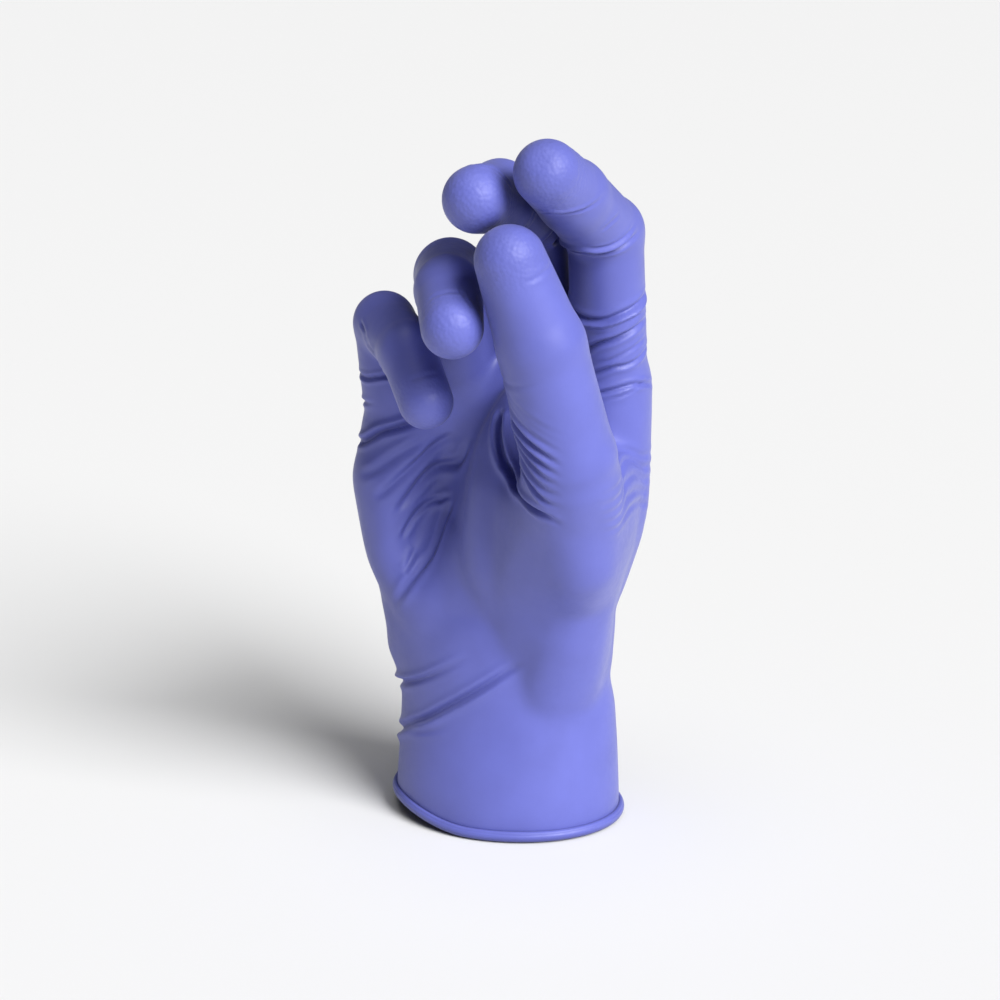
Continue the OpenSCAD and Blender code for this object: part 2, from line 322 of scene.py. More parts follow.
def digit_dist(p, d):
    """Distance to the tapered bones of a digit, the nearest bone and the place along it."""
    best = np.full(len(p), 99.0, np.float32)
    bone = np.zeros(len(p), np.int8)
    place = np.zeros(len(p), np.float32)
    spots = SKEL[d][0].copy()
    if d == "thumb":
        spots[0] += THUMB_IN
    ways = [unit(spots[k + 1] - spots[k]) for k in range(3)]
    for k in (1, 2):
        turn = unit(ways[k] - ways[k - 1]) * (1 - ways[k] @ ways[k - 1])
        spots[k] += turn * CORNER[d] * 1.4
    out = None
    for k in range(3):
        n = float(np.linalg.norm(spots[k + 1] - spots[k]))
        way = unit(spots[k + 1] - spots[k]).astype(np.float32)
        q = p - spots[k].astype(np.float32)
        s = q @ way
        t = np.clip(s, 0, n)
        r = RADII[d][k] + (RADII[d][k + 1] - RADII[d][k]) * t / n
        if k == 0:
            r = r - 0.8 * ease(1 - t / 14)
        dist = np.linalg.norm(q - t[:, None] * way, axis=1) - r
        m = dist < best
        best[m], bone[m], place[m] = dist[m], k, s[m]
        out = dist if out is None else smin(out, dist, 1.6)
    return out, bone, place


NEAR = 17  # a digit's skin lies within this distance of its bones
body = refine(body_field())
field = body.copy()
spread = {d: np.full(body.shape, 30.0, np.float32) for d in DIGITS}
for d in DIGITS:
    spots = SKEL[d][0]
    w = window(FINE, spots.min(axis=0) - NEAR, spots.max(axis=0) + NEAR)
    p, shape = points(FINE, w)
    dist = digit_dist(p, d)[0].reshape(shape)
    spread[d][w] = dist
    field[w] = np.minimum(field[w], smin(body[w], dist, 4.5 if d == "thumb" else 3.0))
# a thin slit keeps fingers that touch from growing together
SLIT = max(1.2, 2 * VOXEL)
for a, b in zip(DIGITS[:3], DIGITS[1:4]):
    slit = np.minimum((SLIT - np.abs(spread[a] - spread[b])) / 2, body - 1.2)
    slit[(spread[a] > 4) | (spread[b] > 4)] = -99
    field = np.maximum(field, slit)
del spread


# ------------------------------------------------------------------- skin mesh
def grow_skin():
    """Quad mesh of the surface where the field is zero."""
    g = openvdb.FloatGrid(background=5.0)
    g.copyFromArray(np.clip(field, -5, 5).astype(np.float32))
    pts, faces = g.convertToQuads(isovalue=0.0)
    return np.asarray(pts, float) * VOXEL + LO, np.asarray(faces, np.int64)


def sample(f, v):
    """The field at any point, by trilinear mixing."""
    q = (v - LO) / VOXEL
    i0 = np.clip(q.astype(int), 0, np.array(f.shape) - 2)
    t = q - i0
    out = 0
    for dx in (0, 1):
        for dy in (0, 1):
            for dz in (0, 1):
                w = (t[:, 0] if dx else 1 - t[:, 0]) * (t[:, 1] if dy else 1 - t[:, 1]) * (
                    t[:, 2] if dz else 1 - t[:, 2])
                out = out + w * f[i0[:, 0] + dx, i0[:, 1] + dy, i0[:, 2] + dz]
    return out


def slope(f, v):
    e = VOXEL * 0.5
    return np.stack([(sample(f, v + e * a) - sample(f, v - e * a)) / (2 * e)
                     for a in np.eye(3)], axis=1)


verts, quads = grow_skin()


def edges(f):
    """The four edges of each quad, as pairs of points."""
    return np.concatenate([f[:, [0, 1]], f[:, [1, 2]], f[:, [2, 3]], f[:, [3, 0]]])


def relax(v, amount):
    """Moves each point towards the mean of its neighbours."""
    e = edges(quads)
    s = np.zeros_like(v)
    for a in range(3):
        s[:, a] = (np.bincount(e[:, 0], v[e[:, 1], a], len(v))
                   + np.bincount(e[:, 1], v[e[:, 0], a], len(v)))
    c = np.bincount(e.ravel(), minlength=len(v))
    return v + amount * (s / np.maximum(c, 1)[:, None] - v)


# even out the mesh and bring it back on to the surface
for step in range(4):
    verts = relax(verts, 0.5)
    g = slope(field, verts)
    verts -= g * (sample(field, verts) / np.maximum((g ** 2).sum(axis=1), 0.2))[:, None]


def vertex_normals(v):
    fn = np.cross(v[quads[:, 2]] - v[quads[:, 0]], v[quads[:, 3]] - v[quads[:, 1]])
    n = np.zeros_like(v)
    for a in range(3):
        for c in range(4):
            n[:, a] += np.bincount(quads[:, c], fn[:, a], len(v))
    return n / np.maximum(np.linalg.norm(n, axis=1), 1e-9)[:, None]


if (vertex_normals(verts) * slope(field, verts)).sum() < 0:
    quads = quads[:, ::-1].copy()


def in_box(lo, hi):
    """Indices of the skin points inside a box."""
    return np.where(((verts > lo) & (verts < hi)).all(axis=1))[0]


# --------------------------------------------- where each point is on the hand
owner = np.full(len(verts), -1, np.int8)      # digit, or -1 for the palm and cuff
bone = np.zeros(len(verts), np.int8)
place = np.zeros(len(verts))                   # distance along that bone
near = sample(body, verts)
for i, d in enumerate(DIGITS):
    spots = SKEL[d][0]
    m = in_box(spots.min(axis=0) - NEAR, spots.max(axis=0) + NEAR)
    dist, b, s = digit_dist(verts[m].astype(np.float32), d)
    hit = dist < np.minimum(near[m], 2.5)
    near[m[hit]] = dist[hit]
    owner[m[hit]], bone[m[hit]], place[m[hit]] = i, b[hit], s[hit]

base_n = vertex_normals(verts)
lift = np.zeros(len(verts))                    # how far each point moves along its normal
tree = BVHTree.FromPolygons([Vector(v) for v in verts.tolist()], quads.tolist())


# --------------------------------------------------- creases, bumps and dents
def snap(p):
    """The nearest point of the skin."""
    return np.array(tree.find_nearest(Vector(p))[0])


def back(x, z):
    """The point of the skin seen from the back of the hand at this place."""
    q = tree.ray_cast(Vector((x, 60, z)), Vector((0, -1, 0)))[0]
    return np.array(q) if q else np.array([x, 12.0, z])


def spline(pts, n):
    """n points along a smooth curve through the given ones."""
    p = np.asarray(pts, float)
    if len(p) == 2:
        return p[0] + (p[1] - p[0]) * np.linspace(0, 1, n)[:, None]
    p = np.vstack([2 * p[0] - p[1], p, 2 * p[-1] - p[-2]])
    t = np.linspace(0, len(p) - 3 - 1e-6, n)
    i = t.astype(int)
    u = (t - i)[:, None]
    a, b, c, d = p[i], p[i + 1], p[i + 2], p[i + 3]
    return 0.5 * (2 * b + (c - a) * u + (2 * a - 5 * b + 4 * c - d) * u ** 2
                  + (3 * b - 3 * c + d - a) * u ** 3)


def crease(pts, width=0.8, depth=0.6, lip=0.35, side=0.0, ends=(0.25, 0.25), steps=26):
    """A valley along a line on the skin, with a lip raised on either side of it.
    side above 0 raises the lip to the left of the line more, below 0 the right one."""
    line = np.array([snap(p) for p in spline(pts, steps)])
    reach = width * 5
    m = in_box(line.min(axis=0) - reach, line.max(axis=0) + reach)
    if not len(m):
        return
    v = verts[m]
    a, ab = line[:-1], line[1:] - line[:-1]
    n = np.maximum((ab ** 2).sum(axis=1), 1e-9)
    best = np.full(len(v), 1e9)
    where = np.zeros(len(v))
    left = np.zeros(len(v))
    for j in range(len(a)):
        q = v - a[j]
        t = np.clip(q @ ab[j] / n[j], 0, 1)
        r = q - t[:, None] * ab[j]
        d2 = (r ** 2).sum(axis=1)
        hit = d2 < best
        best[hit] = d2[hit]
        where[hit] = (j + t[hit]) / len(a)
        left[hit] = (np.cross(base_n[m[hit]], ab[j] / math.sqrt(n[j])) * r[hit]).sum(axis=1)
    u = np.sqrt(best)
    fade = ease(where / max(ends[0], 1e-3)) * ease((1 - where) / max(ends[1], 1e-3))
    tilt = 1 + side * np.sign(left) * np.minimum(1, np.abs(left) / width)
    lift[m] += fade * (lip * tilt * np.exp(-((u - 1.7 * width) / (1.1 * width)) ** 2)
                       - depth * np.exp(-(u / width) ** 2))


def fan(first, last, count, **how):
    """Creases between two lines, each a mix of the two with its own strength."""
    depth, lip = how.pop("depth", 0.6), how.pop("lip", 0.35)
    a, b = np.asarray(first, float), np.asarray(last, float)
    for j in range(count):
        t = (j + rng.uniform(-0.2, 0.2)) / max(count - 1, 1)
        g = rng.uniform(0.6, 1.2)
        crease(a + (b - a) * t, depth=depth * g, lip=lip * g, **how)


def bump(p, r, h):
    """A soft rise or dent of radius r round a point."""
    d = np.linalg.norm(verts - snap(p), axis=1)
    lift[:] += h * np.exp(-(d / r) ** 2)


def finger_crease(d, k, s, phi0, phi1, tilt=0.0, sag=0.0, **how):
    """A crease round the palm side of a finger, at s along bone k."""
    pts = []
    for t in np.linspace(0, 1, 5):
        phi = phi0 + (phi1 - phi0) * t
        pts.append(on_skin(d, k, s + tilt * (t - 0.5) - sag * (1 - (2 * t - 1) ** 2), phi))
    crease(pts, **how)


# index finger: creases at the end joint, the middle joint and the base
crease([(25, -44, 186), (28, -47, 185), (31, -45, 185), (35, -42, 185), (39, -32, 189)],
       width=0.55, depth=0.5, lip=0.3, side=0.5)
crease([(36, -30, 178), (39, -28, 180), (41, -24, 182)], width=0.6, depth=0.25, lip=0.15)
crease([(17, -8, 171), (23, -21, 171), (29, -25, 172), (34, -23, 171), (39, -18, 173),
        (42, -12, 176)], width=0.9, depth=1.5, lip=0.8, side=0.4, ends=(0.05, 0.3))
crease([(31, -27, 174), (36, -23, 174), (42, -14, 178)], width=0.5, depth=0.35, lip=0.2)
crease([(20, -7, 156), (25, -13, 152), (32, -15, 151), (37, -13, 153), (41, -7, 156),
        (42, 0, 159)], width=0.9, depth=0.9, lip=0.8, side=-0.5, ends=(0.05, 0.3))
crease([(27, -14, 149), (33, -15, 149), (38, -12, 151), (42, -5, 154)],
       width=0.6, depth=0.4, lip=0.35)
# folds that fan from the web of the thumb to the side of the index finger
crease([(26, -13, 141), (31, -14, 144), (37, -13, 146), (41, -7, 149), (42, 1, 151)],
       width=0.85, depth=1.2, lip=0.6, side=0.3, ends=(0.08, 0.45))
crease([(27, -13, 134), (34, -12, 137), (38, -9, 138), (42, -2, 141), (41, 5, 143)],
       width=0.7, depth=0.6, lip=0.4, ends=(0.1, 0.4))
crease([(30, -12, 138), (35, -12, 140), (40, -8, 143), (42, -2, 145)],
       width=0.6, depth=0.35, lip=0.25)
crease([(28, -12, 129), (35, -11, 131), (39, -7, 132), (42, -1, 131), (41, 6, 130)],
       width=0.65, depth=0.75, lip=0.4, ends=(0.1, 0.4))
crease([(33, -11, 128), (38, -8, 130), (42, -2, 133)], width=0.5, depth=0.3, lip=0.2)
# middle finger
crease([(3, -43, 196), (9, -46, 196), (12, -44, 195), (15, -44, 193), (17, -42, 189)],
       width=0.6, depth=0.35, lip=0.35)
finger_crease("middle", 1, 8, -80, 80, sag=-1, width=0.9, depth=1.0, lip=0.5)
finger_crease("middle", 2, -1, -80, 80, width=0.7, depth=0.6, lip=0.4)
# ring and little fingers
finger_crease("ring", 2, 1, -90, 80, width=0.7, depth=0.7, lip=0.4)
finger_crease("little", 2, 1, -90, 80, width=0.7, depth=0.7, lip=0.4)
crease([(4, -50, 165), (7, -53, 162), (10, -55, 160)], width=0.6, depth=0.16, lip=0.1)
fan([(-36, -20, 147), (-32, -25, 144)], [(-33, -24, 142), (-28, -30, 140)], 3,
    width=0.6, depth=0.3, lip=0.2)
crease([(-39, -9, 131), (-36, -17, 130), (-31, -19, 131), (-25, -17, 132)],
       width=0.7, depth=0.6, lip=0.5, side=-0.3, ends=(0.3, 0.3))
crease([(-41, -4, 121), (-38, -12, 122), (-33, -17, 123)], width=0.7, depth=0.5, lip=0.4,
       ends=(0.3, 0.5))
crease([(-41, -5, 108), (-38, -12, 110), (-33, -16, 114), (-25, -16, 117), (-16, -13, 121)],
       width=1.0, depth=1.5, lip=0.8, side=0.4, ends=(0.3, 0.3))
# soft folds over the little finger side of the palm
crease([(-38, -13, 100), (-33, -18, 104), (-26, -16, 109), (-18, -13, 114)],
       width=1.3, depth=0.55, lip=0.4)
crease([(-34, -18, 95), (-28, -18, 100), (-20, -14, 107), (-10, -12, 115)],
       width=1.2, depth=0.8, lip=0.45)
crease([(-29, -19, 90), (-22, -15, 97), (-14, -13, 105), (-6, -12, 115)],
       width=1.4, depth=0.9, lip=0.5)
crease([(-26, -18, 83), (-21, -15, 90), (-14, -12, 98)], width=0.9, depth=0.5, lip=0.4)
crease([(-29, -17, 63), (-24, -18, 70), (-19, -16, 79), (-16, -12, 90), (-13, -12, 98)],
       width=1.2, depth=0.7, lip=0.5)
crease([(-25, -19, 73), (-21, -16, 82)], width=0.9, depth=0.35, lip=0.25)
# back of the hand: knuckles, the valleys between them, slack film over the finger joints
for d, high in zip(DIGITS[:4], (0.7, 0.9, 0.8, 0.6)):
    x, z = ROOT[d][0], ROOT[d][2]
    bump(back(x, z + 1), 8.5, high)
    bump(on_skin(d, 0, bone_len(d, 0) - 1, 180), 6.5, 0.5)
    bump(on_skin(d, 1, bone_len(d, 1) - 1, 180), 5.5, 0.35)
    for s in (-3.4, 0.2, 3.2):
        finger_crease(d, 0, bone_len(d, 0) + s - 2, 145, 215, tilt=rng.uniform(-1.5, 1.5),
                      width=0.7, depth=0.22, lip=0.16)
for a, b in zip(DIGITS[:3], DIGITS[1:4]):
    p, q = ROOT[a], ROOT[b]
    x, z = (p[0] + q[0]) / 2, (p[2] + q[2]) / 2
    crease([back(x, z + 9), back(x, z - 4), back(x * 0.93, z - 22)], width=2.6, depth=0.8,
           lip=0.0, ends=(0.2, 0.8))
    crease([back(x - 2, z + 12), back(x - 0.5, z + 4), back(x - 2.5, z - 7)], width=0.7,
           depth=0.4, lip=0.25, ends=(0.1, 0.6))
    crease([back(x + 2, z + 12), back(x + 1, z + 5), back(x + 3, z - 5)], width=0.6,
           depth=0.3, lip=0.2, ends=(0.1, 0.6))
crease([back(-26, 60), back(-10, 57), back(8, 58), back(25, 61)], width=1.3, depth=0.8, lip=0.6)
crease([back(-29, 54), back(-14, 52), back(0, 53)], width=1.0, depth=0.6, lip=0.4)
crease([back(2, 50), back(14, 51), back(27, 54)], width=1.1, depth=0.6, lip=0.5)
crease([back(-24, 45), back(-8, 47), back(10, 45)], width=1.0, depth=0.4, lip=0.3)
# film drawn from the thumb over the web to the back of the hand
for j in range(5):
    t = j / 4
    crease([on_skin("thumb", 0, 46 - 14 * t, 150 + 12 * t), (34 - 1.5 * t, -10, 112 - 13 * t),
            back(31 - 3 * t, 108 - 16 * t)], width=0.9, depth=rng.uniform(0.25, 0.5), lip=0.25,
           ends=(0.3, 0.5))
# fingertips: small dents on the pads and slack film on the nail side
bump((28, -54, 200), 3.0, -0.45)
for d in DIGITS:
    bump(on_skin(d, 2, bone_len(d, 2) + 1, 30), 2.2, -0.22)
    finger_crease(d, 2, bone_len(d, 2) - 4, 140, 220, width=0.7, depth=0.2, lip=0.12)
# a soft roll of film above the folds at the side of the wrist
bump((-33, -3, 46), 6.5, 1.5)
# very soft unevenness all over
for j in range(70):
    p = verts[rng.integers(len(verts))]
    bump(p, rng.uniform(5, 9), rng.uniform(-0.28, 0.28))
# wrist
crease([(-33, 1, 35), (-31, -6, 37), (-21, -17, 42), (-11, -21, 48), (-2, -22, 54)],
       width=1.0, depth=1.1, lip=0.8, side=0.5, ends=(0.15, 0.6))
crease([(-33, 4, 17), (-30, -8, 23), (-19, -19, 31), (-10, -21, 37), (0, -22, 44),
        (8, -21, 50), (14, -20, 54)],
       width=1.1, depth=1.4, lip=0.8, side=-0.3, ends=(0.15, 0.4))
crease([(-31, -6, 20), (-26, -14, 25), (-17, -20, 28), (-7, -22, 32)],
       width=1.0, depth=0.5, lip=0.4, ends=(0.1, 0.6))
# thumb: the deep fold under its base and the smaller ones above it
TOP = [on_skin("thumb", 1, 27, 45), on_skin("thumb", 1, 21, 85), on_skin("thumb", 1, 16, 115),
       on_skin("thumb", 1, 12, 142)]
MID = [on_skin("thumb", 1, 19, 45), on_skin("thumb", 1, 14, 76), on_skin("thumb", 1, 9, 104),
       on_skin("thumb", 1, 4, 126)]
LOW = [on_skin("thumb", 1, 3, 45), on_skin("thumb", 0, 49, 68), on_skin("thumb", 0, 45, 92),
       on_skin("thumb", 0, 43, 120)]
crease([(5, -18, 125), (5, -21, 118), (7, -24, 112), (11, -30, 108), (15, -37, 107),
        (20, -42, 106), (27, -46, 103), (32, -45, 99)],
       width=1.1, depth=1.9, lip=1.0, side=0.2, ends=(0.05, 0.3))
fan(MID, LOW, 5, width=0.8, depth=0.75, lip=0.5, ends=(0.1, 0.5))
fan(TOP, MID, 4, width=0.9, depth=0.3, lip=0.2, ends=(0.2, 0.5))
finger_crease("thumb", 1, 29, -20, 120, sag=1.5, width=0.9, depth=0.25, lip=0.15)


def rim_rise(p):
    """The rim isn't quite level: it rides up on the little finger side."""
    return 3.6 * ease((-p[:, 0] - 2) / 30) * (1 - ease((p[:, 2] - 2) / 16))


lift = np.clip(lift, -2.2, 1.6)
skin = verts + base_n * lift[:, None]
skin[:, 2] += rim_rise(verts)
skin_n = vertex_normals(skin)

# ------------------------------------------------------------ cut into regions
centre = (verts[quads[:, 0]] + verts[quads[:, 1]] + verts[quads[:, 2]] + verts[quads[:, 3]]) / 4
f_owner = owner[quads[:, 0]].copy()
# the body that each rigid region rides on, and the two that each fold lies between
names = ["cuff", "wrist_fold", "palm", "thumb_base_fold", "thumb_base"]
BODY_OF = {"cuff": "cuff", "palm": "palm", "thumb_base": "thumb_metacarpal"}
BLEND_OF = {"wrist_fold": ("cuff", "palm"), "thumb_base_fold": ("palm", "thumb_metacarpal")}
for d in DIGITS:
    b = ["thumb_metacarpal", "thumb_proximal", "thumb_distal"] if d == "thumb" else [
        d + "_proximal", d + "_middle", d + "_distal"]
    if d != "thumb":
        names += [d + "_knuckle_fold", d + "_proximal"]
        BODY_OF[d + "_proximal"] = b[0]
        BLEND_OF[d + "_knuckle_fold"] = ("palm", b[0])
    names += [d + "_middle_fold", d + "_middle", d + "_end_fold", d + "_tip"]
    BODY_OF[d + "_middle"], BODY_OF[d + "_tip"] = b[1], b[2]
    BLEND_OF[d + "_middle_fold"], BLEND_OF[d + "_end_fold"] = (b[0], b[1]), (b[1], b[2])
code = {n: i for i, n in enumerate(names)}


def bone_pos(p, d, k):
    """Distance along bone k from its start."""
    return (p - SKEL[d][0][k]) @ SKEL[d][1][k][:, 2]


def digit_region(p, o):
    """Region code of points, given the digit that they are on."""
    out = np.full(len(p), code["palm"])
    out[p[:, 2] < WRIST_H] = code["wrist_fold"]
    out[p[:, 2] < CUFF_H] = code["cuff"]
    up = (p[:, 2] >= WRIST_H) & (o <= 3) & ((p - CUT_P) @ CUT_N > 0)
    lane = [(p - c) @ n for c, n in LANE]
    col = np.where(lane[0] > 0, 0, np.where(lane[1] > 0, 1, np.where(lane[2] > 0, 2, 3)))
    col = np.where((o >= 0) & (o <= 3) & up, o, col)
    for i, d in enumerate(DIGITS[:4]):
        out[up & (col == i)] = code[d + "_knuckle_fold"]
    web = p @ WEB_N
    low = (p[:, 2] >= WRIST_H) & ~up & ((o == -1) | (o == 4))
    out[low & (web > WEB_A)] = code["thumb_base_fold"]
    out[low & (web > WEB_B)] = code["thumb_base"]
    for i, d in enumerate(DIGITS):
        n = [bone_len(d, k) for k in range(3)]
        r0, r1, r2 = REACH[d]
        s0, s1, s2 = (bone_pos(p, d, k) for k in range(3))
        on = (o == i) if d == "thumb" else (o == i) & up
        b = face_bone
        if d != "thumb":
            out[on & (b == 0) & (s0 > r0)] = code[d + "_proximal"]
        out[on & (b == 0) & (s0 > n[0] - r1)] = code[d + "_middle_fold"]
        out[on & (b == 1)] = code[d + "_middle_fold"]
        out[on & (b == 1) & (s1 > r1)] = code[d + "_middle"]
        out[on & (b == 1) & (s1 > n[1] - r2)] = code[d + "_end_fold"]
        out[on & (b == 2)] = code[d + "_end_fold"]
        out[on & (b == 2) & (s2 > r2)] = code[d + "_tip"]
    return out


face_bone = bone[quads[:, 0]]
region = digit_region(centre, f_owner)
keep = centre[:, 2] > FILM_Z

RIGID = {body: n for n, body in BODY_OF.items()}
ENDS = {n: (code[RIGID[a]], code[RIGID[b]]) for n, (a, b) in BLEND_OF.items()}


def touching():
    """Which regions meet at each vertex."""
    t = np.zeros((len(verts), len(names)), bool)
    for c in range(4):
        t[quads[:, c], region] = True
    return t


# two rigid regions never meet: the film between them belongs to their fold
for turn in range(4):
    t = touching()
    for n, (a, b) in ENDS.items():
        both = t[:, a] & t[:, b]
        near = both[quads].any(axis=1) & ((region == a) | (region == b))
        region[near] = code[n]
TOUCH = touching()


def ramp(s, a, b):
    return ease((s - a) / (b - a))


def elbow_share(p, d, k):
    """Share of the far bone round joint k, level at both ends of the fold."""
    r = REACH[d][k]
    a = np.maximum(0, bone_pos(p, d, k - 1) - (bone_len(d, k - 1) - r) - VOXEL * 1.3)
    b = np.maximum(0, r - bone_pos(p, d, k) - VOXEL * 1.3)
    return ease(a / np.maximum(a + b, 1e-6))


def fold_share(name, p):
    """First guess of the share of a fold's second body at each point."""
    if name == "wrist_fold":
        return ramp(p[:, 2], CUFF_H + VOXEL, WRIST_H - VOXEL)
    if name == "thumb_base_fold":
        s = bone_pos(p, "thumb", 0)
        return np.maximum(ramp(p @ WEB_N, WEB_A + VOXEL, WEB_B - VOXEL), ramp(s, 32, 42))
    d, part = name.split("_", 1)
    if part == "knuckle_fold":
        i = DIGITS.index(d)
        s = bone_pos(p, d, 0)
        edge = np.full(len(p), 99.0)
        if i > 0:
            edge = np.minimum(edge, -((p - LANE[i - 1][0]) @ LANE[i - 1][1]))
        if i < 3:
            edge = np.minimum(edge, (p - LANE[i][0]) @ LANE[i][1])
        near_lane = 1 - ease((edge - 0.6) / 6)
        low = -7 + (REACH[d][0] - 6.5 + 7) * near_lane
        return ease((s - low) / (REACH[d][0] - VOXEL * 1.3 - low))
    return elbow_share(p, d, 1 if part == "middle_fold" else 2)


def settle(name, used, f, w):
    """Holds a fold's shares to those of its neighbours at every shared vertex,
    and evens them out next to the seams."""
    a, b = ENDS[name]
    t = TOUCH[used]
    low, high = t[:, a].copy(), t[:, b].copy()
    for other, (c, d) in ENDS.items():
        if other != name:
            meet = t[:, code[other]]
            if a in (c, d):
                low |= meet
            elif b in (c, d):
                high |= meet
    high &= ~low
    held = low | high
    e = edges(f)
    e = np.concatenate([e, e[:, ::-1]])
    count = np.maximum(np.bincount(e[:, 0], minlength=len(used)), 1)
    w = np.where(low, 0.0, np.where(high, 1.0, w))
    for turn in range(40):
        mean = np.bincount(e[:, 0], weights=w[e[:, 1]], minlength=len(used)) / count
        w = np.where(held, w, mean)
    return w


def rest_attribute(mesh, p):
    a = mesh.attributes.new("rest_mm", "FLOAT_VECTOR", "POINT")
    a.data.foreach_set("vector", np.asarray(p, np.float32).ravel())


def scalar_attribute(mesh, name, v):
    a = mesh.attributes.new(name, "FLOAT", "POINT")
    a.data.foreach_set("value", np.asarray(v, np.float32))


def in_scene(name, data):
    o = bpy.data.objects.new(name, data)
    bpy.context.scene.collection.objects.link(o)
    return o


def make_piece(name):
    """Closed thin shell of one region: outer skin, inner skin and the rims between them."""
    f = quads[(region == code[name]) & keep]
    used = np.unique(f)
    new = np.full(len(verts), -1)
    new[used] = np.arange(len(used))
    f = new[f]
    n = len(used)
    outer = skin[used]
    inner = outer - base_n[used] * FILM
    e = edges(f)
    key = e.min(axis=1) * (n + 1) + e.max(axis=1)
    _, first, count = np.unique(key, return_index=True, return_counts=True)
    rim = e[first[count == 1]]
    rims = np.stack([rim[:, 1], rim[:, 0], rim[:, 0] + n, rim[:, 1] + n], axis=1)
    faces = np.concatenate([f, f[:, ::-1] + n, rims])
    mesh = bpy.data.meshes.new(name + "_skin")
    p = np.concatenate([outer, inner]) / 1000
    mesh.vertices.add(len(p))
    mesh.vertices.foreach_set("co", p.astype(np.float32).ravel())
    mesh.loops.add(len(faces) * 4)
    mesh.loops.foreach_set("vertex_index", faces.astype(np.int32).ravel())
    mesh.polygons.add(len(faces))
    mesh.polygons.foreach_set("loop_start", np.arange(0, len(faces) * 4, 4, dtype=np.int32))
    mesh.update()
    mesh.validate()
    mesh.polygons.foreach_set("use_smooth", np.ones(len(mesh.polygons), bool))
    both = np.concatenate([skin_n[used], -skin_n[used]])
    if len(mesh.vertices) == len(both):
        mesh.normals_split_custom_set_from_vertices(both.tolist())
    rest_attribute(mesh, np.concatenate([verts[used], verts[used]]))
    scalar_attribute(mesh, "grip", np.tile(grip[used], 2))
    o = in_scene(name + "_skin", mesh)
    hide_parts(name)
    o.data.materials.append(grip_mat if name.endswith("_tip") else film_mat)
    if name in BLEND_OF:
        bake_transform(o)
        w = settle(name, used, f, fold_share(name, verts[used]))
    else:
        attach(o, BODY_OF[name])


# ------------------------------------------------------------------- materials
SHADE = (0.118, 0.133, 0.470)           # blue violet of the film
PAINTED_SHADE_TINT = (0.16, 0.19, 0.38, 1)     # painted shade: what the colour in the deepest hollows is multiplied by
PAINTED_SHADE_REACH = 0.03                     # how far a point looks for film around it when painting shade, m
MIX_A, MIX_B, MIX_OUT = 6, 7, 2         # colour sockets of the mix node


def node(nt, kind, x, y=0, inputs=None, **props):
    n = nt.nodes.new(kind)
    n.location = (x, y)
    for k, v in props.items():
        setattr(n, k, v)
    for k, v in (inputs or {}).items():
        n.inputs[k].default_value = v
    return n


def color_ramp(nt, x, y, first, last):
    """Ramp between two (position, colour) stops."""
    n = node(nt, "ShaderNodeValToRGB", x, y)
    for element, (position, color) in zip(n.color_ramp.elements, (first, last)):
        element.position = position
        element.color = color
    return n


